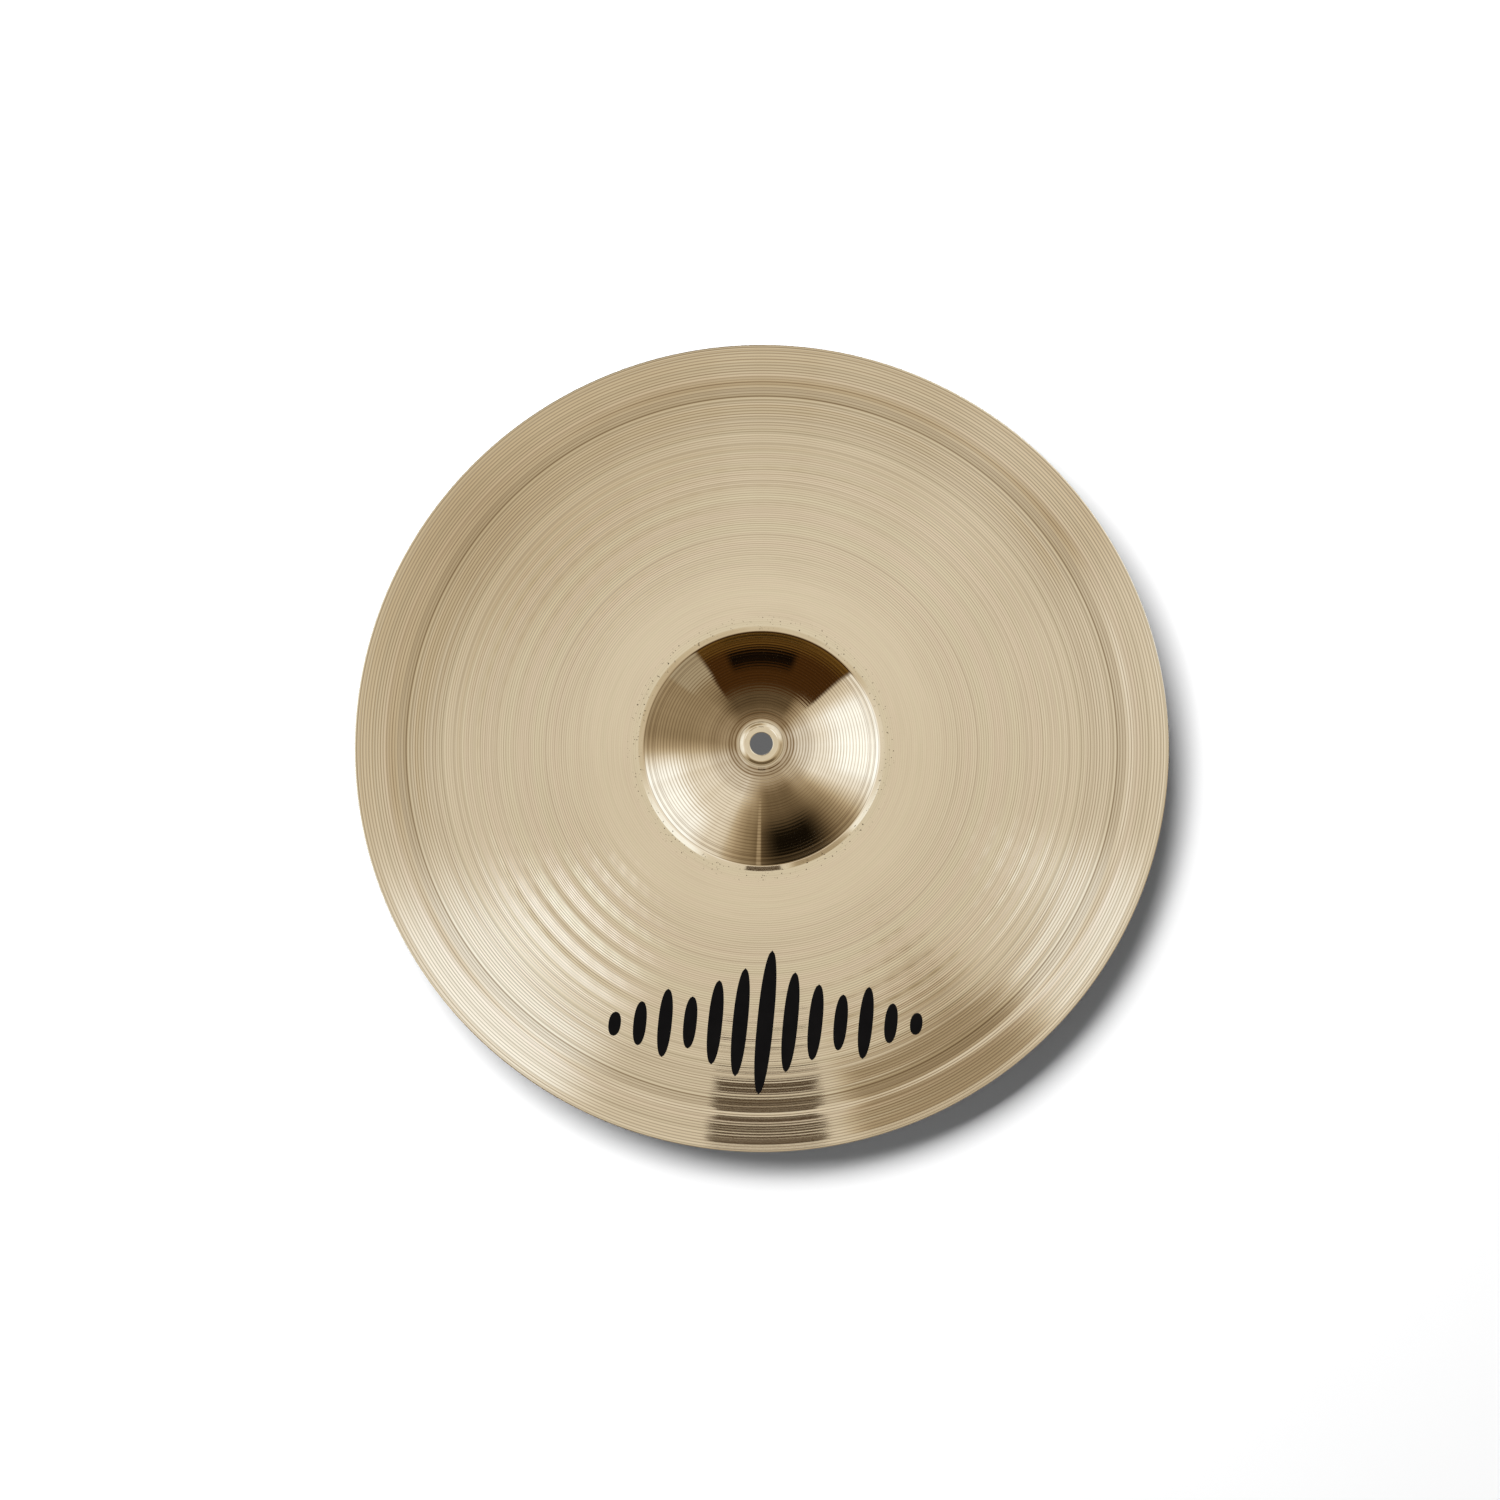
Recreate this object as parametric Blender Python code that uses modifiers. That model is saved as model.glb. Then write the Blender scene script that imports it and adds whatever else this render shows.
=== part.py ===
"""Crash cymbal: one cast, rolled, hammered and lathed bronze plate, lying bell up.

+Z runs along the rod hole's axis towards the crown of the bell. The origin is the centre of the
circle that the rim rests on. Lengths are in metres.
"""

import math

import bpy

INCH = 0.0254

# Driving dimensions
RIM_RADIUS = 8.0 * INCH
BELL_RADIUS = 2.375 * INCH
HOLE_RADIUS = 15 / 64 * INCH
SEAT_RADIUS = 0.0080          # flat ring around the hole, where the felts press
DIMPLE_WALL_RADIUS = 0.0102   # steepest place of the wall around that ring
RIDGE_RADIUS = 0.0120         # highest ring of the crown, around the dimple
CROWN_RADIUS = 0.0128         # where the dimple's round meets the dome of the bell
FOLD_WIDTH = 0.0011           # where the bell's wall turns sharply towards the bow
FLARE_WIDTH = 0.0030          # gentle end of that turn, beyond the bell's radius

# Slopes of the underside, falling outwards
RIM_SLOPE = math.radians(16.0)
BOW_SLOPE = math.radians(5.0)         # beside the bell
FLARE_SLOPE = math.radians(14.0)
BELL_WALL_SLOPE = math.radians(40.5)
CROWN_SLOPE = math.radians(10.0)
DIMPLE_SLOPE = math.radians(-18.0)

# Thickness of the plate
RIM_THICKNESS = 0.0008
BOW_THICKNESS = 0.0011
BELL_THICKNESS = 0.0013

HOLE_ROUND = 0.0002           # broken edges of the punched hole
TURN_STEPS = 80
EDGE_ANGLES = (45.0, 0.0, -45.0, -90.0)   # round of the rim's edge, in degrees above the horizon


def underside_stations():
    """Radius, slope, thickness, and the number of chords in the arc that leads there."""
    bell_foot = BELL_RADIUS - FOLD_WIDTH
    bow_start = BELL_RADIUS + FLARE_WIDTH
    rim_end = RIM_RADIUS - RIM_THICKNESS / 2 * (1 + math.sin(RIM_SLOPE))
    return [
        (HOLE_RADIUS, 0.0, BELL_THICKNESS, 0),
        (SEAT_RADIUS, 0.0, BELL_THICKNESS, 1),
        (DIMPLE_WALL_RADIUS, DIMPLE_SLOPE, BELL_THICKNESS, 2),
        (RIDGE_RADIUS, 0.0, BELL_THICKNESS, 2),
        (CROWN_RADIUS, CROWN_SLOPE, BELL_THICKNESS, 1),
        (bell_foot, BELL_WALL_SLOPE, BELL_THICKNESS, 6),
        (BELL_RADIUS, FLARE_SLOPE, BELL_THICKNESS, 3),
        (bow_start, BOW_SLOPE, BOW_THICKNESS, 2),
        (rim_end, RIM_SLOPE, RIM_THICKNESS, 7),
    ]


def blend(start, end, share):
    return start + (end - start) * share


def arc_points(start, end):
    """Points (radius, drop, slope, thickness) along a circular arc, without its first point.

    A chord of an arc has the mean of the slopes at its two ends, and the sine of the slope
    grows evenly with the radius.
    """
    radius, slope, thickness, _ = start
    end_radius, end_slope, end_thickness, chords = end
    sine_span = math.sin(end_slope) - math.sin(slope)
    points = []
    last_radius = radius
    last_slope = slope
    for step in range(1, chords + 1):
        share = step / chords
        here_slope = blend(slope, end_slope, share)
        if sine_span:
            radial_share = (math.sin(here_slope) - math.sin(slope)) / sine_span
        else:
            radial_share = share
        here_radius = blend(radius, end_radius, radial_share)
        drop = (here_radius - last_radius) * math.tan((here_slope + last_slope) / 2)
        here_thickness = blend(thickness, end_thickness, radial_share)
        points.append((here_radius, drop, here_slope, here_thickness))
        last_radius = here_radius
        last_slope = here_slope
    return points


def underside():
    """The underside from the hole to the rim: (radius, height, slope, thickness)."""
    stations = underside_stations()
    radius, slope, thickness, _ = stations[0]
    height = 0.0
    line = [(radius, height, slope, thickness)]
    for start, end in zip(stations, stations[1:]):
        for radius, drop, slope, thickness in arc_points(start, end):
            height -= drop
            line.append((radius, height, slope, thickness))
    lowest = rim_centre(line)[1] - RIM_THICKNESS / 2
    return [(radius, height - lowest, slope, thickness) for radius, height, slope, thickness in line]


def rim_centre(line):
    """Centre of the round of the rim's edge, half a thickness inside the plate."""
    radius, height, slope, thickness = line[-1]
    return radius + thickness / 2 * math.sin(slope), height + thickness / 2 * math.cos(slope)


def section():
    """The plate's cut section: out along the top, down the edge, back along the underside."""
    under = underside()
    top = []
    for radius, height, slope, thickness in under:
        top.append((radius + thickness * math.sin(slope), height + thickness * math.cos(slope)))
    hole_top = top[0][1]
    hole_bottom = under[0][1]
    top[0] = (HOLE_RADIUS + HOLE_ROUND, hole_top)
    bottom = [(radius, height) for radius, height, slope, thickness in under]
    bottom[0] = (HOLE_RADIUS + HOLE_ROUND, hole_bottom)
    centre_radius, centre_height = rim_centre(under)
    edge = []
    for angle in EDGE_ANGLES:
        reach = RIM_THICKNESS / 2
        edge.append((centre_radius + reach * math.cos(math.radians(angle)),
                     centre_height + reach * math.sin(math.radians(angle))))
    wall = [(HOLE_RADIUS, hole_bottom + HOLE_ROUND), (HOLE_RADIUS, hole_top - HOLE_ROUND)]
    return top + edge + bottom[::-1] + wall


def bronze_material():
    material = bpy.data.materials.new("bronze")
    material.use_nodes = True
    shader = material.node_tree.nodes["Principled BSDF"]
    shader.inputs["Base Color"].default_value = (0.79, 0.67, 0.45, 1.0)
    shader.inputs["Metallic"].default_value = 1.0
    shader.inputs["Roughness"].default_value = 0.24
    return material


def turned(name, outline, material, collection):
    """A ring turned about +Z from a closed outline of (radius, height) points."""
    mesh = bpy.data.meshes.new(name)
    corners = [(radius, 0.0, height) for radius, height in outline]
    sides = [(index, (index + 1) % len(corners)) for index in range(len(corners))]
    mesh.from_pydata(corners, sides, [])
    mesh.materials.append(material)
    turned_object = bpy.data.objects.new(name, mesh)
    collection.objects.link(turned_object)
    screw = turned_object.modifiers.new("turn", "SCREW")
    screw.axis = "Z"
    screw.angle = math.tau
    screw.steps = TURN_STEPS
    screw.render_steps = TURN_STEPS
    screw.use_merge_vertices = True
    screw.merge_threshold = 0.00001
    screw.use_smooth_shade = True
    return turned_object


def build_cymbal():
    for old in list(bpy.data.objects):
        bpy.data.objects.remove(old, do_unlink=True)
    collection = bpy.data.collections.new("crash_cymbal")
    bpy.context.scene.collection.children.link(collection)
    turned("cymbal", section(), bronze_material(), collection)


build_cymbal()
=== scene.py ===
"""Looks of the crash cymbal: the turned and hammered bronze plate, its printed mark, and a studio."""

import math

import bmesh
import bpy
import numpy as np
from mathutils import Matrix, Vector


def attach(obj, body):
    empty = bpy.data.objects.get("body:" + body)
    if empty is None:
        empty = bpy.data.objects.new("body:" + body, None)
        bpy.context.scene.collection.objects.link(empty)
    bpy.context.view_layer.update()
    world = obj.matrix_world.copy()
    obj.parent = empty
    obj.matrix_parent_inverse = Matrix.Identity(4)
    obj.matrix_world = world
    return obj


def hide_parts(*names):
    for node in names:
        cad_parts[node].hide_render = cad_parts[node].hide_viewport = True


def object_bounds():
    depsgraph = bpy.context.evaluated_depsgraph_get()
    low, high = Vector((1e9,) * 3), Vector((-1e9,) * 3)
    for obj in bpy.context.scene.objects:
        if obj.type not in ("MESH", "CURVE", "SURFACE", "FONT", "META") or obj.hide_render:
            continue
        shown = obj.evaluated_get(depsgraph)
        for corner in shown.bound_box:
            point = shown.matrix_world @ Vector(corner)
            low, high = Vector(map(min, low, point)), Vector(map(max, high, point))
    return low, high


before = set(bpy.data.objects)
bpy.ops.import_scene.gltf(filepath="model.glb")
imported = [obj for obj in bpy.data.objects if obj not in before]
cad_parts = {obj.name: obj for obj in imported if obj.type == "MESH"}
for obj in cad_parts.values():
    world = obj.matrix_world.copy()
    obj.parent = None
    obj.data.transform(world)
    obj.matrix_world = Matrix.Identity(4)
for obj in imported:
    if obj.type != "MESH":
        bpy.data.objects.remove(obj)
cad_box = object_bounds()

INCH = 0.0254
MM = 0.001

# The plate's own dimensions, as the frame's solid has them
RIM_RADIUS = 8.0 * INCH
BELL_RADIUS = 2.375 * INCH
HOLE_RADIUS = 15 / 64 * INCH
SEAT_RADIUS = 0.0080
DIMPLE_WALL_RADIUS = 0.0102
RIDGE_RADIUS = 0.0120
CROWN_RADIUS = 0.0128
FOLD_WIDTH = 0.0011
FLARE_WIDTH = 0.0030
RIM_SLOPE = math.radians(16.0)
BOW_SLOPE = math.radians(5.0)
FLARE_SLOPE = math.radians(14.0)
BELL_WALL_SLOPE = math.radians(40.5)
CROWN_SLOPE = math.radians(10.0)
DIMPLE_SLOPE = math.radians(-18.0)
RIM_THICKNESS = 0.0008
BOW_THICKNESS = 0.0011
BELL_THICKNESS = 0.0013
HOLE_ROUND = 0.0002

SPOKES = 256                  # facets around the plate
EDGE_ANGLES = range(60, -106, -20)   # degrees, from the top round the rim to the underside
FIT_GAP = 0.00001             # left free under the top of the solid's box

# Turned grooves: pitch, where they start and end, how softly, all in mm, and their slope in degrees
BANDS = (
    (1.5, 12.8, 57.6, 1.5, 1.8),
    (1.1, 64.0, 84.0, 3.0, 0.25),
    (1.0, 92.0, 166.0, 20.0, 0.9),
    (1.3, 166.0, 199.0, 8.0, 0.5),
    (0.95, 199.3, 203.5, 0.6, 3.0),
)
# The dark line in each groove: pitch, start, end and softness in mm, line width, and darkness
LINES = (
    (1.5, 12.8, 58.4, 1.5, -0.2, 0.44),
    (1.1, 62.0, 96.0, 8.0, -0.1, 0.08),
    (1.1, 92.0, 170.0, 24.0, -0.3, 0.30),
    (1.4, 164.0, 204.0, 6.0, -0.2, 0.42),
)
# Uneven cuts: how close they lie, low and high limit of the noise, start, end, softness, darkness
CUTS = (
    (0.9, 0.0, 0.6, 98.0, 221.0, 30.0, 0.25),
    (0.45, 0.1, 0.7, 136.0, 180.0, 10.0, 0.18),
    (0.22, 0.0, 0.8, 120.0, 206.0, 14.0, 0.11),
)
# Single dark rings, 0.4 mm wide: radius in mm, and darkness
DARK_RINGS = ((11.4, 0.5), (13.3, 0.4), (16.4, 0.3), (55.2, 0.5), (58.0, 0.6), (59.6, 0.5))
# Wide rings of painted shade in the bell's hollow, and one wide darker ring on the outer bow: start, end and
# softness in mm, and darkness
PAINTED_SHADE_AND_DARKER_RINGS = ((12.0, 27.0, 6.0, 0.26), (11.6, 17.5, 4.0, 0.22), (177.8, 182.8, 1.8, 0.17))

# Uneven slopes: how close they lie, detail, start, end and softness in mm, and slope in degrees
WAVERS = (
    (0.55, 3.0, 140.0, 172.0, 16.0, 0.9),
    (0.6, 2.0, 166.0, 204.0, 6.0, 1.1),
)
# Scratches: start, end and softness in mm, then slope in degrees and darkness
SCRATCHES = (84.0, 210.0, 8.0)
SCRATCH_SLOPE = 0.65
SCRATCH_SHADE = 0.20
# The bell gets painted shade, a darker bronze, and is a little less polished than the bow: start, end and
# softness in mm
BELL = (12.0, 58.2, 1.6)
BOW_ROUGHNESS = 0.052
BELL_EXTRA_ROUGHNESS = 0.008
ROSY_BRONZE = (0.798, 0.655, 0.452, 1)
GREEN_BRONZE = (0.782, 0.666, 0.444, 1)
# The bell's darker bronze is painted shade for its hollow
SHADED_BELL_BRONZE = (0.75, 0.61, 0.40, 1)
GROOVE_AND_SHADE_BROWN = (0.22, 0.135, 0.06, 1)
SPECK_BROWN = (0.12, 0.08, 0.045, 1)

# Hammer marks in rings, radii in mm. One sector is struck hardest.
HAMMER_RING = 89.0            # the middle of one ring
HAMMER_PITCH = 9.0
HAMMER_RISE = (82.0, 94.0)    # where the marks set in
HAMMER_END = 180.0
HAMMER_SLOPE = 0.45           # degrees
STRUCK_SECTOR = (math.radians(98), math.radians(150))
STRUCK_SOFTNESS = math.radians(30)
STRUCK_RINGS = (85.0, 150.0, 12.0)   # start, end and softness
STRUCK_SLOPE = 4.4            # degrees
BEADS = 72.0                  # around the plate

# Relief of the underside: radii in mm and slopes in degrees, where a slope above 0 falls outwards
RELIEF_STEP = 0.05 * MM
# Waves that the lathe tool leaves: radians per mm, phase, slope
WAVES = ((2.03, 0.0, 0.4), (1.31, 2.0, 0.45), (0.77, 1.0, 0.3))
WAVES_RISE = (128.0, 142.0)
WAVES_FALL = (174.0, 204.0)
WAVES_PAUSE = (184.0, 6.0)    # middle and half width
# Turned steps: radius of the middle, half width, slope
STEPS = ((160.0, 6.0, -0.5), (170.0, 2.0, 0.5), (173.6, 0.9, 1.8), (185.0, 1.7, 2.9))
RIM_TURN = (187.0, 190.0)     # where the rim turns less steep
RIM_EASE = 0.5
FLARE_END = 62.6              # where the flare beside the bell turns into the bow
FLARE_STEEPNESS = 10.4
FLARE_TURN = 8.0              # degrees per mm


def underside_stations():
    """Radius, slope, thickness, and the number of rings in the arc that leads there."""
    bell_foot = BELL_RADIUS - FOLD_WIDTH
    bow_start = BELL_RADIUS + FLARE_WIDTH
    rim_end = RIM_RADIUS - RIM_THICKNESS / 2 * (1 + math.sin(RIM_SLOPE))
    return [
        (HOLE_RADIUS, 0.0, BELL_THICKNESS, 0),
        (SEAT_RADIUS, 0.0, BELL_THICKNESS, 4),
        (DIMPLE_WALL_RADIUS, DIMPLE_SLOPE, BELL_THICKNESS, 6),
        (RIDGE_RADIUS, 0.0, BELL_THICKNESS, 6),
        (CROWN_RADIUS, CROWN_SLOPE, BELL_THICKNESS, 2),
        (bell_foot, BELL_WALL_SLOPE, BELL_THICKNESS, 40),
        (BELL_RADIUS, FLARE_SLOPE, BELL_THICKNESS, 7),
        (bow_start, BOW_SLOPE, BOW_THICKNESS, 14),
        (rim_end, RIM_SLOPE, RIM_THICKNESS, 158),
    ]


def underside():
    """The smooth underside from hole to rim, as rows of radius, height, slope and thickness."""
    stations = underside_stations()
    radius, slope, thickness, _ = stations[0]
    rows = [(radius, 0.0, slope, thickness)]
    for (r0, s0, t0, _), (r1, s1, t1, rings) in zip(stations, stations[1:]):
        for ring in range(1, rings + 1):
            last_r, last_z, last_slope, _ = rows[-1]
            share = ring / rings
            slope = s0 + (s1 - s0) * share
            if s1 != s0:
                share = (math.sin(slope) - math.sin(s0)) / (math.sin(s1) - math.sin(s0))
            radius = r0 + (r1 - r0) * share
            height = last_z - (radius - last_r) * math.tan((slope + last_slope) / 2)
            rows.append((radius, height, slope, t0 + (t1 - t0) * share))
    rows = np.array(rows)
    rows[:, 1] += RIM_THICKNESS / 2 * (1 - math.cos(RIM_SLOPE)) - rows[-1, 1]
    crown = np.max(rows[:, 1] + rows[:, 3] * np.cos(rows[:, 2]))
    rows[:, 1] *= (cad_box[1][2] - FIT_GAP) / crown
    return rows


PLATE = underside()


def plate_height(radius):
    """Height of the smooth underside at a radius."""
    return np.interp(radius, PLATE[:, 0], PLATE[:, 1])


def plate_slope(radius):
    """Slope of the smooth underside at a radius, in radians."""
    return np.interp(radius, PLATE[:, 0], PLATE[:, 2])


def ramp(mm, start, end):
    """An even rise from 0 at the start to 1 at the end."""
    return np.clip((mm - start) / (end - start), 0, 1)


def hump(mm, middle, width):
    """1 at the middle, fading to nothing at about twice the width."""
    return np.exp(-((mm - middle) / width) ** 2)


def hammer_slope(mm):
    """Slope of the rings of hammer marks, each with a narrow fall and a wide rise."""
    rings = np.cos(math.tau * (mm - HAMMER_RING) / HAMMER_PITCH)
    rings = np.sign(rings) * np.abs(rings) ** np.where(rings > 0, 1.6, 0.9)
    return rings * HAMMER_SLOPE * ramp(mm, *HAMMER_RISE) * (mm < HAMMER_END)


def turned_steps_slope(mm):
    """Slope of the lathe's waves and steps on the outer bow. The waves pause at the steepest step."""
    waves = sum(np.sin(mm * pace + phase) * steep for pace, phase, steep in WAVES)
    slope = waves * (1 - hump(mm, *WAVES_PAUSE)) * ramp(mm, *WAVES_RISE) * (1 - ramp(mm, *WAVES_FALL))
    for middle, width, steep in STEPS:
        slope = slope + steep * hump(mm, middle, width)
    return slope - RIM_EASE * ramp(mm, *RIM_TURN)


def flare_slope(mm):
    """Slope that keeps the flare beside the bell equally steep for 2 mm and then turns it into the bow."""
    flare = FLARE_STEEPNESS - np.clip(mm - FLARE_END, 0, None) * FLARE_TURN
    extra = flare - np.degrees(plate_slope(mm * MM))
    return np.where(mm < FLARE_END, extra, np.clip(extra, 0, None))


def turned_relief():
    """Height that turning and hammering leave on the underside, as rows of radius and height."""
    radius = np.arange(BELL_RADIUS, RIM_RADIUS - 0.0005, RELIEF_STEP)
    mm = radius / MM
    slope = hammer_slope(mm) + turned_steps_slope(mm) + flare_slope(mm)
    height = -np.cumsum(np.radians(slope)) * RELIEF_STEP
    share = (radius - radius[0]) / (radius[-1] - radius[0])
    height -= height[0] + (height[-1] - height[0]) * share
    return radius, height


RELIEF_RADIUS, RELIEF_HEIGHT = turned_relief()


def relief(radius):
    """Height of the relief at a radius."""
    return np.interp(radius, RELIEF_RADIUS, RELIEF_HEIGHT, left=0, right=0)


def ring_mesh(name, outline):
    """A closed shell turned about +Z from an outline, an array of (radius, height) rows."""
    turn = np.arange(SPOKES) * math.tau / SPOKES
    x = outline[:, 0, None] * np.cos(turn)
    y = outline[:, 0, None] * np.sin(turn)
    z = np.repeat(outline[:, 1, None], SPOKES, 1)
    corners = np.stack([x, y, z], -1).reshape(-1, 3)
    rings = len(outline)
    faces = []
    for ring in range(rings):
        for spoke in range(SPOKES):
            a = ring * SPOKES + spoke
            b = ring * SPOKES + (spoke + 1) % SPOKES
            c = (ring + 1) % rings * SPOKES + (spoke + 1) % SPOKES
            d = (ring + 1) % rings * SPOKES + spoke
            faces.append((a, d, c, b))
    mesh = bpy.data.meshes.new(name)
    mesh.from_pydata(corners.tolist(), [], faces)
    mesh.shade_smooth()
    piece = bpy.data.objects.new(name, mesh)
    bpy.context.scene.collection.objects.link(piece)
    return piece


def section():
    """The plate's section: out along the top, round the edge, back along the underside."""
    radius, height, slope, thickness = PLATE.T
    top = np.stack([radius + thickness * np.sin(slope), height + thickness * np.cos(slope)], 1)
    bottom = np.stack([radius, height + relief(radius)], 1)
    centre = (top[-1] + bottom[-1]) / 2
    reach = RIM_THICKNESS / 2
    edge = []
    for angle in EDGE_ANGLES:
        a = math.radians(angle)
        edge.append(centre + reach * np.array([math.cos(a), math.sin(a)]))
    # The top has no relief, so a few rings past the crown it needs only every second one
    sparse = int(np.argmax(top[:, 1])) + 6
    kept = np.r_[1:sparse, sparse:len(top) - 1:2, len(top) - 1]
    # The hole's lower edge is rounded, and then its upper one
    hole = []
    for corner, turn, angles in ((bottom[0], -1, (80, 45, 10)), (top[0], 1, (10, 45, 80))):
        for angle in angles:
            a = math.radians(angle)
            hole.append((HOLE_RADIUS + HOLE_ROUND * (1 - math.cos(a)),
                         corner[1] - turn * HOLE_ROUND * (1 - math.sin(a))))
    return np.concatenate([top[kept], edge, bottom[::-1][:-1], np.array(hole)])


class Nodes:
    """Short calls for building a node tree."""

    def __init__(self, name):
        self.material = bpy.data.materials.new(name)
        self.material.use_nodes = True
        self.tree = self.material.node_tree
        self.shader = self.tree.nodes["Principled BSDF"]
        self.output = self.tree.nodes["Material Output"]

    def add(self, kind, **settings):
        """A new node with its settings."""
        node = self.tree.nodes.new(kind)
        for key, value in settings.items():
            setattr(node, key, value)
        return node

    def put(self, socket, value):
        """Link another node's output to a socket, or set the socket's own value."""
        if hasattr(value, "is_output"):
            self.tree.links.new(value, socket)
        else:
            socket.default_value = value

    def math(self, operation, *values):
        """The outcome of one sum, whose values are numbers or other nodes' outputs."""
        node = self.add("ShaderNodeMath", operation=operation)
        for socket, value in zip(node.inputs, values):
            self.put(socket, value)
        return node.outputs[0]

    def window(self, value, inner, outer, soft):
        """1 between two limits and 0 outside them, with a soft step centred on each."""
        rise = self.step(value, inner - soft / 2, inner + soft / 2)
        fall = self.step(value, outer - soft / 2, outer + soft / 2)
        return self.math("SUBTRACT", rise, fall)

    def step(self, value, start, end):
        """A smooth rise from 0 at the start to 1 at the end."""
        ramp = self.add("ShaderNodeMapRange", interpolation_type="SMOOTHSTEP")
        self.put(ramp.inputs["Value"], value)
        self.put(ramp.inputs["From Min"], start)
        self.put(ramp.inputs["From Max"], end)
        return ramp.outputs[0]

    def blend(self, share, first, second):
        """A mix of two colours."""
        mix = self.add("ShaderNodeMix", data_type="RGBA")
        self.put(mix.inputs[0], share)
        self.put(mix.inputs[6], first)
        self.put(mix.inputs[7], second)
        return mix.outputs[2]

    def waver(self, along, scale, detail=2.0):
        """Noise about 0, from -1 to 1, along one measure."""
        noise = self.add("ShaderNodeTexNoise", noise_dimensions="1D")
        self.put(noise.inputs["W"], along)
        self.put(noise.inputs["Scale"], scale)
        self.put(noise.inputs["Detail"], detail)
        return self.math("MULTIPLY", self.math("SUBTRACT", noise.outputs[0], 0.5), 2.0)


def hammer_marks(n, mm, turn):
    """Hammer marks in rings, struck hardest over one sector, with beads where blows overlap."""
    phase = n.math("MULTIPLY", n.math("SUBTRACT", mm, HAMMER_RING), math.tau / HAMMER_PITCH)
    rings = n.math("ADD", n.math("MULTIPLY", n.math("COSINE", phase), 0.5), 0.5)
    rings = n.math("SUBTRACT", n.math("POWER", rings, 3.0), 0.3)
    beads = n.math("SINE", n.math("ADD", n.math("MULTIPLY", turn, BEADS), n.math("MULTIPLY", mm, 0.5)))
    sector = n.window(turn, *STRUCK_SECTOR, STRUCK_SOFTNESS)
    sector = n.math("MULTIPLY", sector, n.math("ADD", n.math("MULTIPLY", beads, 0.08), 1.0))
    struck = n.math("ADD", sector, n.math("MULTIPLY", beads, 0.10))
    return n.math("MULTIPLY", rings, struck)


def turned_slope(n, mm, turn, arcs, wander):
    """Slope of the turned grooves and of the hammer's marks at a radius in millimetres."""
    parts = []
    for pitch, inner, outer, soft, steep in BANDS:
        phase = n.math("ADD", n.math("MULTIPLY", mm, math.tau / pitch), wander)
        groove = n.math("SINE", phase)
        parts.append((groove, n.window(mm, inner, outer, soft), steep))
    parts.append((arcs, n.window(mm, *SCRATCHES), SCRATCH_SLOPE))
    for scale, detail, inner, outer, soft, steep in WAVERS:
        parts.append((n.waver(mm, scale, detail), n.window(mm, inner, outer, soft), steep))
    parts.append((hammer_marks(n, mm, turn), n.window(mm, *STRUCK_RINGS), STRUCK_SLOPE))
    total = 0.0
    for shape, where, steep in parts:
        share = n.math("MULTIPLY", n.math("MULTIPLY", shape, where), math.radians(steep))
        total = n.math("ADD", share, total)
    return total


def polar(n):
    """The place on the object, its distance from the axis in mm, the turn around it and the way outwards."""
    place = n.add("ShaderNodeTexCoord").outputs["Object"]
    axes = n.add("ShaderNodeSeparateXYZ")
    n.put(axes.inputs[0], place)
    flat = n.add("ShaderNodeCombineXYZ")
    n.put(flat.inputs[0], axes.outputs[0])
    n.put(flat.inputs[1], axes.outputs[1])
    length = n.add("ShaderNodeVectorMath", operation="LENGTH")
    n.put(length.inputs[0], flat.outputs[0])
    mm = n.math("MULTIPLY", length.outputs["Value"], 1000.0)
    turn = n.math("ARCTAN2", axes.outputs[1], axes.outputs[0])
    outward = n.add("ShaderNodeVectorMath", operation="NORMALIZE")
    n.put(outward.inputs[0], flat.outputs[0])
    return place, mm, turn, outward.outputs[0]


def scratches(n, mm, outward):
    """Noise from -1 to 1, long around the plate and narrow across it."""
    stretch = n.add("ShaderNodeVectorMath", operation="SCALE")
    n.put(stretch.inputs[0], outward)
    n.put(stretch.inputs["Scale"], 1.5)
    lift = n.add("ShaderNodeCombineXYZ")
    n.put(lift.inputs[2], n.math("MULTIPLY", mm, 0.75))
    spot = n.add("ShaderNodeVectorMath", operation="ADD")
    n.put(spot.inputs[0], stretch.outputs[0])
    n.put(spot.inputs[1], lift.outputs[0])
    streak = n.add("ShaderNodeTexNoise")
    n.put(streak.inputs["Vector"], spot.outputs[0])
    n.put(streak.inputs["Scale"], 1.0)
    n.put(streak.inputs["Detail"], 3.0)
    return n.math("MULTIPLY", n.math("SUBTRACT", streak.outputs[0], 0.5), 2.0)


def leaned_normal(n, slope, outward):
    """The surface's own normal, leaned outwards by a slope in radians."""
    lean = n.add("ShaderNodeVectorMath", operation="SCALE")
    n.put(lean.inputs[0], outward)
    n.put(lean.inputs["Scale"], slope)
    face = n.add("ShaderNodeVectorMath", operation="ADD")
    n.put(face.inputs[0], n.add("ShaderNodeNewGeometry").outputs["Normal"])
    n.put(face.inputs[1], lean.outputs[0])
    unit = n.add("ShaderNodeVectorMath", operation="NORMALIZE")
    n.put(unit.inputs[0], face.outputs[0])
    return unit.outputs[0]


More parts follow.
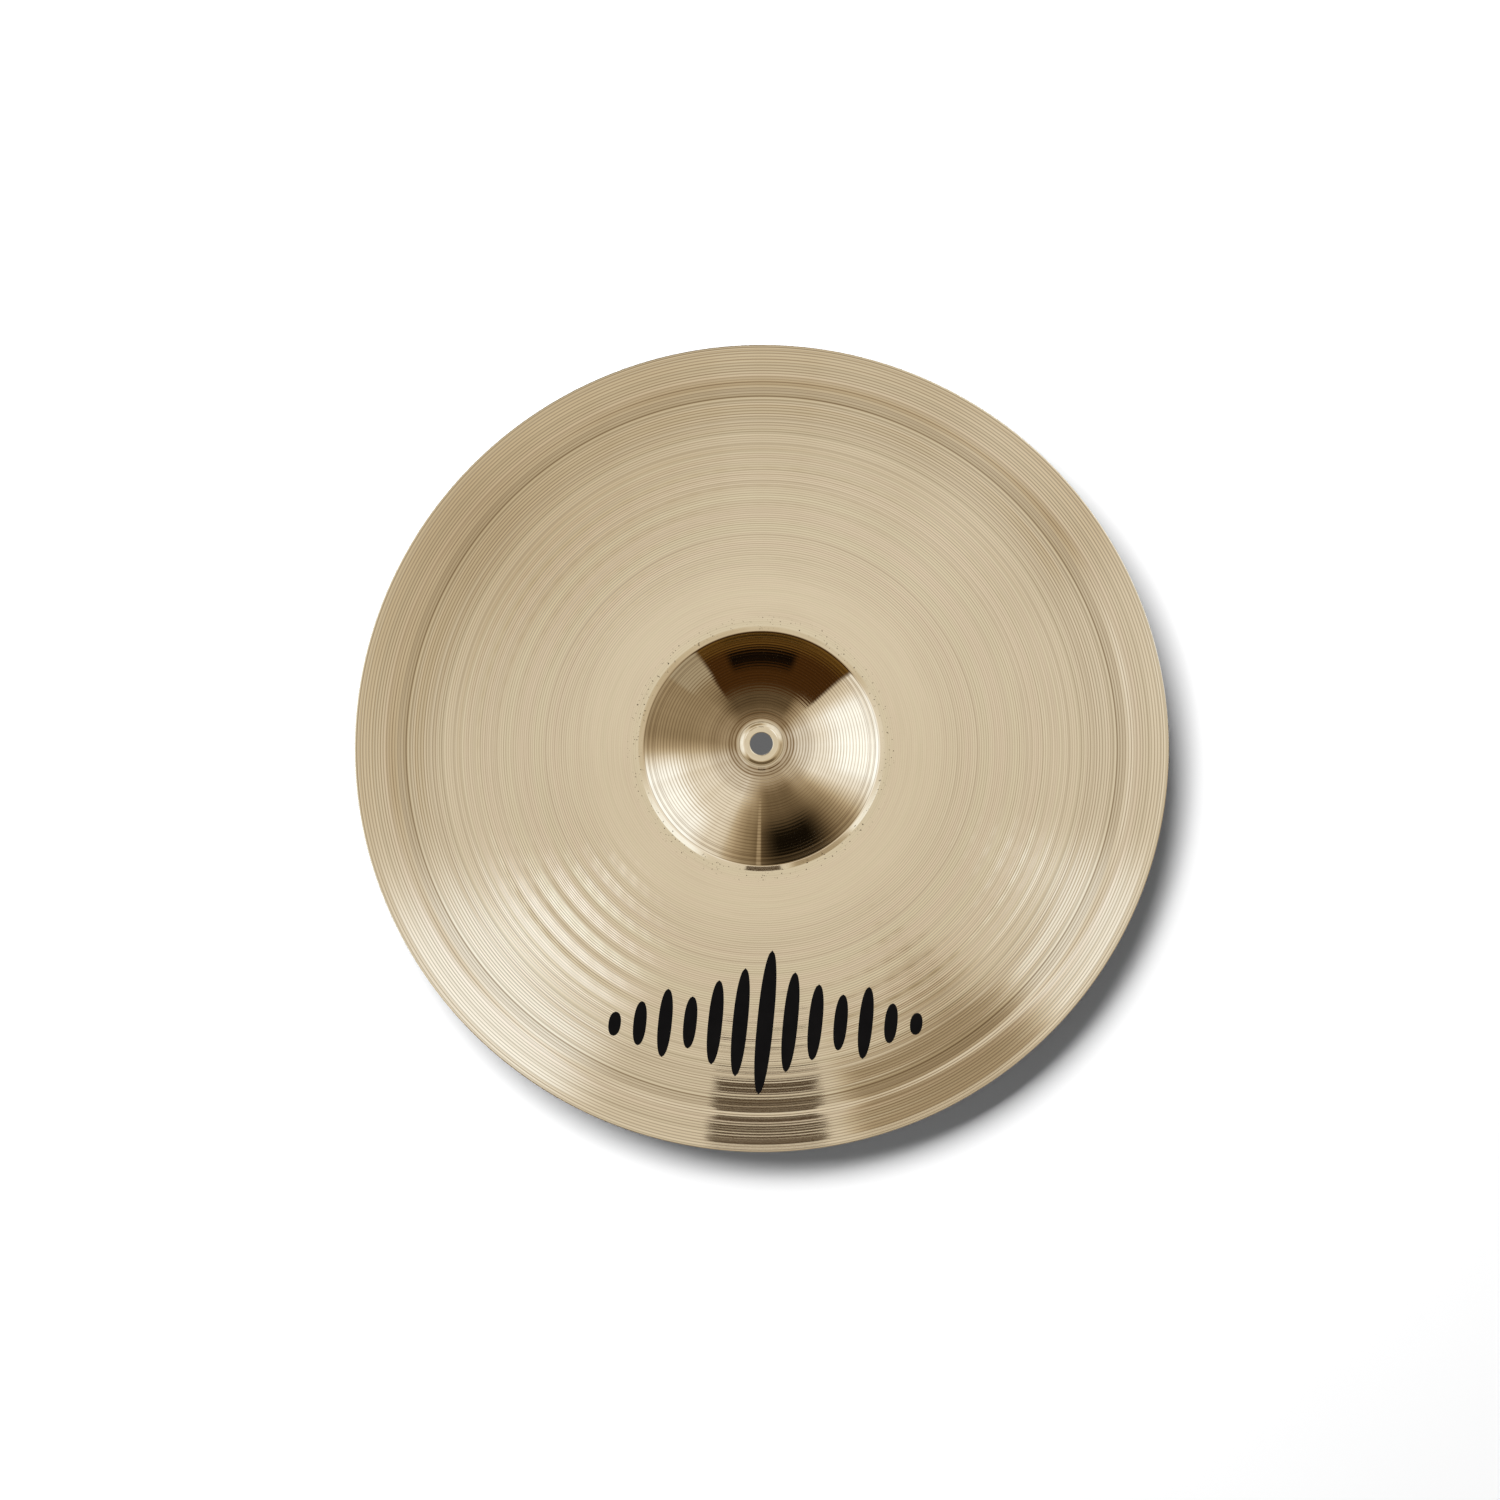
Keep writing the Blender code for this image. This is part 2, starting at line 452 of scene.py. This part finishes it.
def groove_marks_and_painted_shade(n, mm, arcs, wander):
    """How much the grooves, cuts, scratches and dark rings darken the metal, with painted shade in the
    bell's hollow.
    """
    shade = n.math("MULTIPLY", n.math("ABSOLUTE", arcs), SCRATCH_SHADE)
    # The wide rings in the bell's hollow are painted shade
    for inner, outer, soft, depth in PAINTED_SHADE_AND_DARKER_RINGS:
        shade = n.math("ADD", shade, n.math("MULTIPLY", n.window(mm, inner, outer, soft), depth))
    for pitch, inner, outer, soft, start, depth in LINES:
        line = n.math("SINE", n.math("ADD", n.math("MULTIPLY", mm, math.tau / pitch), wander))
        where = n.math("MULTIPLY", n.window(mm, inner, outer, soft), depth)
        shade = n.math("ADD", shade, n.math("MULTIPLY", n.step(line, start, 1.0), where))
    for scale, low, high, inner, outer, soft, depth in CUTS:
        cut = n.step(n.waver(mm, scale, 3.0), low, high)
        where = n.math("MULTIPLY", n.window(mm, inner, outer, soft), depth)
        shade = n.math("ADD", shade, n.math("MULTIPLY", cut, where))
    for ring, depth in DARK_RINGS:
        shade = n.math("ADD", shade, n.math("MULTIPLY", n.window(mm, ring - 0.2, ring + 0.2, 0.3), depth))
    return shade


def bronze_colour(n, place, mm, bell, shade):
    """Bronze in faint bands of tint, with painted shade over the bell and darker grooves, and specks beside
    the bell.
    """
    tint = n.step(n.waver(mm, 0.12, 3.0), -0.7, 0.7)
    colour = n.blend(tint, ROSY_BRONZE, GREEN_BRONZE)
    # The darker bronze over the bell is painted shade
    colour = n.blend(bell, colour, SHADED_BELL_BRONZE)
    # Grooves darken towards brown, and so does the painted shade in the bell
    colour = n.blend(shade, colour, GROOVE_AND_SHADE_BROWN)
    dots = n.add("ShaderNodeTexNoise")
    n.put(dots.inputs["Vector"], place)
    n.put(dots.inputs["Scale"], 900.0)
    n.put(dots.inputs["Detail"], 2.0)
    specks = n.math("MULTIPLY", n.step(dots.outputs[0], 0.66, 0.70), n.window(mm, 61.5, 68, 2))
    return n.blend(specks, colour, SPECK_BROWN)


def bronze():
    """Turned bell bronze: fine grooves around the hole, faint bands of tint, and a few specks."""
    n = Nodes("bronze")
    s = n.shader.inputs
    place, mm, turn, outward = polar(n)
    arcs = scratches(n, mm, outward)
    wander = n.math("MULTIPLY", n.waver(mm, 0.11), 3.0)
    slope = turned_slope(n, mm, turn, arcs, wander)
    n.put(s["Normal"], leaned_normal(n, slope, outward))
    bell = n.window(mm, *BELL)
    shade = groove_marks_and_painted_shade(n, mm, arcs, wander)
    n.put(s["Base Color"], bronze_colour(n, place, mm, bell, shade))
    n.put(s["Metallic"], 1.0)
    extra = n.math("MULTIPLY", bell, BELL_EXTRA_ROUGHNESS)
    n.put(s["Roughness"], n.math("ADD", extra, BOW_ROUGHNESS))
    n.put(s["Anisotropic"], 1.0)
    n.put(s["Anisotropic Rotation"], 0.25)
    tangent = n.add("ShaderNodeTangent", direction_type="RADIAL", axis="Z")
    n.put(s["Tangent"], tangent.outputs[0])
    return n.material


def one_sided(name, colour, own_light=0.0):
    """A plain matt surface, seen only from its front, that can give some light of its own."""
    n = Nodes(name)
    n.put(n.shader.inputs["Base Color"], colour)
    n.put(n.shader.inputs["Roughness"], 1.0)
    n.put(n.shader.inputs["Emission Color"], (1, 1, 1, 1))
    n.put(n.shader.inputs["Emission Strength"], own_light)
    clear = n.add("ShaderNodeBsdfTransparent")
    side = n.add("ShaderNodeNewGeometry")
    mix = n.add("ShaderNodeMixShader")
    n.put(mix.inputs[0], side.outputs["Backfacing"])
    n.put(mix.inputs[1], n.shader.outputs[0])
    n.put(mix.inputs[2], clear.outputs[0])
    n.put(n.output.inputs[0], mix.outputs[0])
    return n.material


SHEET_SPOKES = 96


def sheet(name, inner, outer, height, facing_up, material):
    """A flat ring around the axis; an inner radius of 0 leaves no hole."""
    mesh = bpy.data.meshes.new(name)
    turn = np.arange(SHEET_SPOKES) * math.tau / SHEET_SPOKES
    corners = [(reach * math.cos(a), reach * math.sin(a), height) for reach in (inner, outer) for a in turn]
    faces = []
    for spoke in range(SHEET_SPOKES):
        following = (spoke + 1) % SHEET_SPOKES
        faces.append((spoke, SHEET_SPOKES + spoke, SHEET_SPOKES + following, following))
    if not facing_up:
        faces = [face[::-1] for face in faces]
    mesh.from_pydata(corners, [], faces)
    mesh.materials.append(material)
    piece = bpy.data.objects.new(name, mesh)
    bpy.context.scene.collection.objects.link(piece)
    piece.visible_shadow = False
    piece.visible_diffuse = False
    piece.visible_glossy = False
    piece.visible_transmission = False


def aim(thing, place, target):
    """Put a lamp or the camera at a place, looking at the target."""
    thing.location = place
    thing.rotation_mode = "QUATERNION"
    thing.rotation_quaternion = (Vector(target) - Vector(place)).to_track_quat("-Z", "Y")


def softbox(name, place, width, height, power):
    """A rectangular lamp aimed at the cymbal."""
    light = bpy.data.lights.new(name, "AREA")
    light.shape = "RECTANGLE"
    light.size = width
    light.size_y = height
    light.energy = power
    lamp = bpy.data.objects.new(name, light)
    bpy.context.scene.collection.objects.link(lamp)
    aim(lamp, place, (0, 0, 0))
    lamp.visible_camera = False
    lamp.visible_glossy = False


def glow(name, colour, half_width, half_height, softness):
    """Light of a card, fading to nothing along its edges."""
    n = Nodes(name)
    where = n.add("ShaderNodeTexCoord")
    split = n.add("ShaderNodeSeparateXYZ")
    n.put(split.inputs[0], where.outputs["Object"])
    mask = 1.0
    for measure, half in zip(split.outputs, (half_width, half_height)):
        reach = n.math("ABSOLUTE", n.math("DIVIDE", measure, half))
        ramp = n.add("ShaderNodeMapRange", interpolation_type="SMOOTHSTEP")
        n.put(ramp.inputs["Value"], reach)
        n.put(ramp.inputs["From Min"], 1 - softness)
        n.put(ramp.inputs["To Min"], 1.0)
        n.put(ramp.inputs["To Max"], 0.0)
        mask = n.math("MULTIPLY", ramp.outputs[0], mask)
    clear = n.add("ShaderNodeBsdfTransparent")
    light = n.add("ShaderNodeEmission")
    n.put(light.inputs["Color"], (*colour, 1))
    mix = n.add("ShaderNodeMixShader")
    n.put(mix.inputs[0], mask)
    n.put(mix.inputs[1], clear.outputs[0])
    n.put(mix.inputs[2], light.outputs[0])
    n.put(n.output.inputs[0], mix.outputs[0])
    n.tree.nodes.remove(n.shader)
    return n.material


# The studio as the metal reflects it: azimuth and half its width, then how softly it ends there,
# the inner and outer limits in degrees from straight down, their softness, and how bright it is.
STUDIO = (
    ("shade_ahead", 93, 38, 20, 31, 52, 10, 0.13),
    ("shade_right", 40, 34, 24, 17, 27, 7, 0.64),
    ("shade_behind", -112, 25, 26, 24, 80, 16, 0.16),
    ("grey_left", 138, 16, 14, 24, 101, 10, 0.5),
    ("lobe_left", -176, 20, 12, 11.3, 15, 3, 1.34),
    ("lobe_right", -14, 24, 18, 8, 15.5, 5, 1.42),
    ("box_left", 170, 33, 26, 21.5, 101, 14, 1.3),
    ("box_left_core", 167, 22, 14, 50, 101, 14, 1.75),
    ("box_left_low", -172, 62, 20, 79, 101, 8, 1.2),
    ("box_right", -32, 36, 24, 20, 101, 12, 1.1),
    ("box_right_core", -24, 24, 18, 54, 97, 14, 1.6),
    ("lobe_low_right", -54, 20, 26, 18, 33, 14, 1.15),
    ("lobe_low_left", -156, 14, 30, 17, 28, 14, 0.9),
    ("dark_gap", -112, 23, 28, 46, 72, 16, 0.006),
    ("dark_by_lens", -140, 25, 10, 6.6, 12.6, 2.5, 0.38),
    ("slit", -88, 1.3, 1, 32, 76, 6, 0.4),
    ("upper_key", -150, 40, 20, 104, 152, 16, 0.95),
    ("upper_fill", 30, 40, 20, 108, 150, 16, 0.85),
)
# How the light falls away from the pale sheet around the lens, by degrees from straight down
BELOW = ((0, 0.83), (9, 0.82), (12, 0.86), (17, 0.88), (19, 0.83), (21, 0.79), (24, 0.73), (27, 0.62),
         (34, 0.44), (50, 0.33), (80, 0.36), (92, 0.6), (105, 0.5), (150, 0.6), (180, 0.7))
# What the dim room adds is warm, and what the lamps give is cool
WARMTH = ((0.0, (1.35, 1.0, 0.62)), (0.3, (1.18, 1.0, 0.76)), (0.5, (1.12, 1.0, 0.85)),
          (0.67, (1.06, 1.0, 0.91)), (0.8, (1.01, 1.0, 1.0)), (1.0, (0.97, 1.0, 1.08)),
          (1.3, (0.91, 1.0, 1.2)), (1.6, (0.86, 1.0, 1.3)))
# Coloured things beyond the lights: the same limits, and a colour
THINGS = (
    ("brown_wall", 96, 37, 3, 46.5, 88, 2, (0.072, 0.032, 0.009)),
    ("brown_rim", 96, 37, 3, 79, 88, 8, (0.17, 0.098, 0.024)),
    ("black_shade", 90, 18, 5, 62.5, 75, 3, (0.006, 0.004, 0.003)),
    ("white_patch", 52, 8, 3, 64, 85, 3, (0.5, 0.47, 0.42)),
)


def stepped(n, value, stops):
    """A colour ramp over a value, from stops of value and colour."""
    scale = float(stops[-1][0])
    ramp = n.add("ShaderNodeValToRGB")
    elements = ramp.color_ramp.elements
    for number, (place, colour) in enumerate(stops):
        stop = elements[number] if number < 2 else elements.new(place / scale)
        stop.position = place / scale
        stop.color = (*colour, 1)
    n.put(ramp.inputs[0], n.math("DIVIDE", value, scale))
    return ramp.outputs[0]


def uneven(n, axes, off_axis):
    """Streaks of the paper wall, which differ around the cymbal and vanish straight below it."""
    around = n.add("ShaderNodeCombineXYZ")
    reach = n.math("SINE", n.math("RADIANS", off_axis))
    for number in (0, 1):
        n.put(around.inputs[number], n.math("DIVIDE", axes.outputs[number], reach))
    streaks = n.add("ShaderNodeTexNoise")
    n.put(streaks.inputs["Vector"], around.outputs[0])
    n.put(streaks.inputs["Scale"], 4.0)
    n.put(streaks.inputs["Detail"], 3.0)
    drift = n.math("MULTIPLY", n.math("SUBTRACT", streaks.outputs[0], 0.5), n.step(off_axis, 12.0, 24.0))
    return n.math("ADD", n.math("MULTIPLY", drift, 0.5), 1.0)


def studio_light():
    """Light of the dome: its level by direction, the warmth that goes with it, and coloured things."""
    n = Nodes("studio_light")
    unit = n.add("ShaderNodeVectorMath", operation="NORMALIZE")
    n.put(unit.inputs[0], n.add("ShaderNodeTexCoord").outputs["Object"])
    axes = n.add("ShaderNodeSeparateXYZ")
    n.put(axes.inputs[0], unit.outputs[0])
    down = n.math("MULTIPLY", axes.outputs[2], -1.0)
    off_axis = n.math("MULTIPLY", n.math("ARCCOSINE", down), math.degrees(1))
    azimuth = n.math("MULTIPLY", n.math("ARCTAN2", axes.outputs[1], axes.outputs[0]), math.degrees(1))

    def inside(middle, half, soft, inner, outer, off_soft):
        """1 within limits of azimuth and of distance from straight down, and 0 beyond them."""
        wrap = n.add("ShaderNodeMath", operation="WRAP")
        n.put(wrap.inputs[0], n.math("SUBTRACT", azimuth, float(middle)))
        n.put(wrap.inputs[1], 180.0)
        n.put(wrap.inputs[2], -180.0)
        across = n.window(wrap.outputs[0], -half, half, soft)
        return n.math("MULTIPLY", across, n.window(off_axis, inner, outer, off_soft))

    level = stepped(n, off_axis, [(place, (grey,) * 3) for place, grey in BELOW])
    for name, *limits, light in STUDIO:
        level = n.blend(inside(*limits), level, (light, light, light, 1))
    level = n.math("MULTIPLY", level, uneven(n, axes, off_axis))
    tone = stepped(n, level, WARMTH)
    lit = n.add("ShaderNodeMix", data_type="RGBA", blend_type="MULTIPLY")
    n.put(lit.inputs[0], 1.0)
    n.put(lit.inputs[6], level)
    n.put(lit.inputs[7], tone)
    colour = lit.outputs[2]
    for name, *limits, light in THINGS:
        colour = n.blend(inside(*limits), colour, (*light, 1))
    glow_node = n.add("ShaderNodeEmission")
    n.put(glow_node.inputs["Color"], colour)
    n.put(n.output.inputs[0], glow_node.outputs[0])
    n.tree.nodes.remove(n.shader)
    return n.material


DOME_RADIUS = 1.5


def studio_dome():
    """The tent of light around the cymbal, which only the metal's reflections show."""
    mesh = bpy.data.meshes.new("studio_dome")
    shape = bmesh.new()
    bmesh.ops.create_uvsphere(shape, u_segments=96, v_segments=48, radius=DOME_RADIUS)
    shape.to_mesh(mesh)
    shape.free()
    mesh.materials.append(studio_light())
    dome = bpy.data.objects.new("studio_dome", mesh)
    bpy.context.scene.collection.objects.link(dome)
    only_reflected(dome)


def only_reflected(piece):
    """Show a staged piece to the metal's reflections alone."""
    piece.visible_camera = False
    piece.visible_diffuse = False
    piece.visible_transmission = False
    piece.visible_shadow = False


def toward(azimuth, off_axis, distance):
    """A place under the cymbal. Azimuth 0 is +X and 90 is +Y; off-axis is measured from straight down."""
    a = math.radians(azimuth)
    o = math.radians(off_axis)
    return Vector((math.cos(a) * math.sin(o), math.sin(a) * math.sin(o), -math.cos(o))) * distance


def card(name, azimuth, off_axis, distance, width, height, colour, softness):
    """A card that only the metal's reflections show; its height runs outwards."""
    mesh = bpy.data.meshes.new(name)
    x = width / 2
    y = height / 2
    mesh.from_pydata([(-x, -y, 0), (x, -y, 0), (x, y, 0), (-x, y, 0)], [], [(0, 1, 2, 3)])
    mesh.materials.append(glow(name, colour, x, y, softness))
    piece = bpy.data.objects.new(name, mesh)
    bpy.context.scene.collection.objects.link(piece)
    place = toward(azimuth, off_axis, distance)
    across = Vector((-math.sin(math.radians(azimuth)), math.cos(math.radians(azimuth)), 0))
    facing = -place.normalized()
    rise = facing.cross(across)
    piece.matrix_world = Matrix((across, rise, facing)).transposed().to_4x4()
    piece.location = place
    only_reflected(piece)


# A generic printed mark: a row of upright strokes like the trace of a struck note. The place is in
# metres; the heights, the pitch and the width are in mm.
MARK_PLACE = (0.002, 0.139)
MARK_HEIGHTS = (12, 22, 34, 26, 42, 54, 72, 50, 38, 28, 36, 20, 11)
MARK_PITCH = 12.8
MARK_WIDTH = 8.4
MARK_LEAN = 0.10
MARK_STEPS = 20               # quads along half a stroke
MARK_COLUMNS = 5              # corners across a stroke
INK_DEPTH = 0.00003           # metres
INK_RIPPLE = 6283.0           # radians per metre, so one ripple per mm
INK_RIPPLE_HEIGHT = 0.000002  # metres


def stroke_outline(height):
    """Half widths of one stroke at even steps from its top to its foot, in mm."""
    shares = np.linspace(-1, 1, 2 * MARK_STEPS + 1)
    width = MARK_WIDTH / 2 * (0.7 + 0.3 * height / max(MARK_HEIGHTS))
    return shares * height / 2, width * np.sqrt(np.clip(1 - np.abs(shares) ** 2.4, 0, 1))


def under_point(x, y, depth):
    """A point at a depth under the plate's lower face."""
    radius = math.hypot(x, y)
    slope = plate_slope(radius)
    z = plate_height(radius) + relief(radius) - depth * math.cos(slope)
    inward = depth * math.sin(slope) / radius
    return x * (1 - inward), y * (1 - inward), z


def stroke_corners(middle, height):
    """Corners of one stroke's slab, row by row, each place with its lower and its upper corner."""
    corners = []
    for y, half in zip(*stroke_outline(height)):
        for column in range(MARK_COLUMNS):
            across = (column / (MARK_COLUMNS - 1) * 2 - 1) * max(half, 0.05)
            x = middle + (across - MARK_LEAN * y) * MM
            for depth in (INK_DEPTH, 0.0):
                corners.append(under_point(x, MARK_PLACE[1] + y * MM, depth))
    return corners


def stroke_faces(base):
    """Faces of one stroke's slab, as the numbers of its corners, the first of which is base."""
    rows = 2 * MARK_STEPS + 1

    def corner(row, column, side):
        """Number of a corner; side 0 is the lower one."""
        return base + (row * MARK_COLUMNS + column) * 2 + side

    def edge_face(first, second, side):
        """A face of the slab's edge, whose order of corners starts on one side to point outwards."""
        return [corner(*first, side), corner(*first, 1 - side),
                corner(*second, 1 - side), corner(*second, side)]

    faces = []
    for row in range(rows - 1):
        for column in range(MARK_COLUMNS - 1):
            ring = [(row, column), (row, column + 1), (row + 1, column + 1), (row + 1, column)]
            faces.append([corner(*place, 0) for place in ring[::-1]])
            faces.append([corner(*place, 1) for place in ring])
        for column, side in ((0, 0), (MARK_COLUMNS - 1, 1)):
            faces.append(edge_face((row, column), (row + 1, column), side))
    for row, side in ((0, 1), (rows - 1, 0)):
        for column in range(MARK_COLUMNS - 1):
            faces.append(edge_face((row, column), (row, column + 1), side))
    return faces


def printed_mark():
    """Ink on the underside: each stroke is a thin closed slab that follows the plate."""
    corners = []
    faces = []
    for number, height in enumerate(MARK_HEIGHTS):
        middle = MARK_PLACE[0] + (number - (len(MARK_HEIGHTS) - 1) / 2) * MARK_PITCH * MM
        faces += stroke_faces(len(corners))
        corners += stroke_corners(middle, height)
    mesh = bpy.data.meshes.new("printed_mark")
    mesh.from_pydata(corners, [], faces)
    mesh.materials.append(ink())
    piece = bpy.data.objects.new("printed_mark", mesh)
    bpy.context.scene.collection.objects.link(piece)
    return piece


def ink():
    """Glossy black printing ink over the turned grooves."""
    n = Nodes("mark_ink")
    s = n.shader.inputs
    place = n.add("ShaderNodeTexCoord").outputs["Object"]
    cloud = n.add("ShaderNodeTexNoise")
    n.put(cloud.inputs["Vector"], place)
    n.put(cloud.inputs["Scale"], 160.0)
    n.put(cloud.inputs["Detail"], 4.0)
    colour = n.blend(cloud.outputs[0], (0.0016, 0.0014, 0.0014, 1), (0.0042, 0.0036, 0.0034, 1))
    n.put(s["Base Color"], colour)
    n.put(s["Roughness"], n.math("ADD", n.math("MULTIPLY", cloud.outputs[0], 0.12), 0.28))
    n.put(s["Specular IOR Level"], 0.04)
    length = n.add("ShaderNodeVectorMath", operation="LENGTH")
    n.put(length.inputs[0], place)
    bump = n.add("ShaderNodeBump")
    n.put(bump.inputs["Height"], n.math("SINE", n.math("MULTIPLY", length.outputs["Value"], INK_RIPPLE)))
    n.put(bump.inputs["Distance"], INK_RIPPLE_HEIGHT)
    n.put(s["Normal"], bump.outputs[0])
    return n.material


# The camera looks up into the hollow side, a little from -Y, so that -Y is at the picture's top.
VIEW_ELEVATION = math.radians(-82.65)
VIEW_DISTANCE = 1.42
SENSOR_WIDTH = 36.0
FRAME_WIDTH = 0.7487          # what the picture takes in at the rim's plane
RIM_RIGHT_OF_CENTRE = 0.00585
RIM_BELOW_CENTRE = 0.0030


def make_camera():
    """The camera, aimed at the middle of the rim and then moved sideways without turning."""
    back = Vector((0, -math.cos(VIEW_ELEVATION), math.sin(VIEW_ELEVATION)))
    data = bpy.data.cameras.new("camera")
    data.sensor_width = SENSOR_WIDTH
    data.lens = SENSOR_WIDTH * VIEW_DISTANCE / FRAME_WIDTH
    camera = bpy.data.objects.new("camera", data)
    bpy.context.scene.collection.objects.link(camera)
    aim(camera, back * VIEW_DISTANCE, (0, 0, 0))
    turn = camera.rotation_quaternion
    camera.location += turn @ Vector((-RIM_RIGHT_OF_CENTRE, RIM_BELOW_CENTRE, 0))
    bpy.context.scene.camera = camera


def make_world():
    """A pale surround that doesn't light the matt ground."""
    world = bpy.data.worlds.new("studio")
    world.use_nodes = True
    world.node_tree.nodes["Background"].inputs[0].default_value = (0.8, 0.8, 0.8, 1)
    world.cycles_visibility.diffuse = False
    bpy.context.scene.world = world


shell = ring_mesh("cymbal_shell", section())
shell.data.materials.append(bronze())
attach(shell, "root")
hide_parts("cymbal")
shell.visible_diffuse = False   # the matt ground would otherwise see its glare

mark = printed_mark()
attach(mark, "root")

sheet("floor", 0.0, 4.0, -0.0002, True, one_sided("floor", (0.35, 0.35, 0.347, 1), 0.58))
# The backdrop hangs close behind the rim and leaves room for the bow and the bell
sheet("backdrop", 0.17, 2.0, 0.017, False, one_sided("backdrop", (0.9, 0.9, 0.9, 1), 0.02))
# A dark sheet behind the hole is painted shadow for what shows through it
sheet("hole_shadow", 0.0, 0.03, 0.0612, False, one_sided("hole_shadow", (0.04, 0.04, 0.042, 1), 0.12))
studio_dome()
card("camera_body", -90, 8.3, 1.40, 0.118, 0.104, (0.075, 0.045, 0.02), 0.05)
# The lamps light the sheets and cast the shadow. The metal doesn't reflect them.
softbox("shadow_lamp", toward(-125, 51.5, 4.5), 3.98, 1.7, 455)
softbox("shadow_fill", toward(168, 42, 4.5), 3.15, 3.15, 30)
softbox("over_key", (-0.8, -0.9, 1.4), 0.8, 0.8, 30)
softbox("over_fill", (1.3, 0.6, 1.1), 0.8, 0.8, 14)
make_camera()
make_world()
bpy.context.scene.view_settings.view_transform = "Standard"
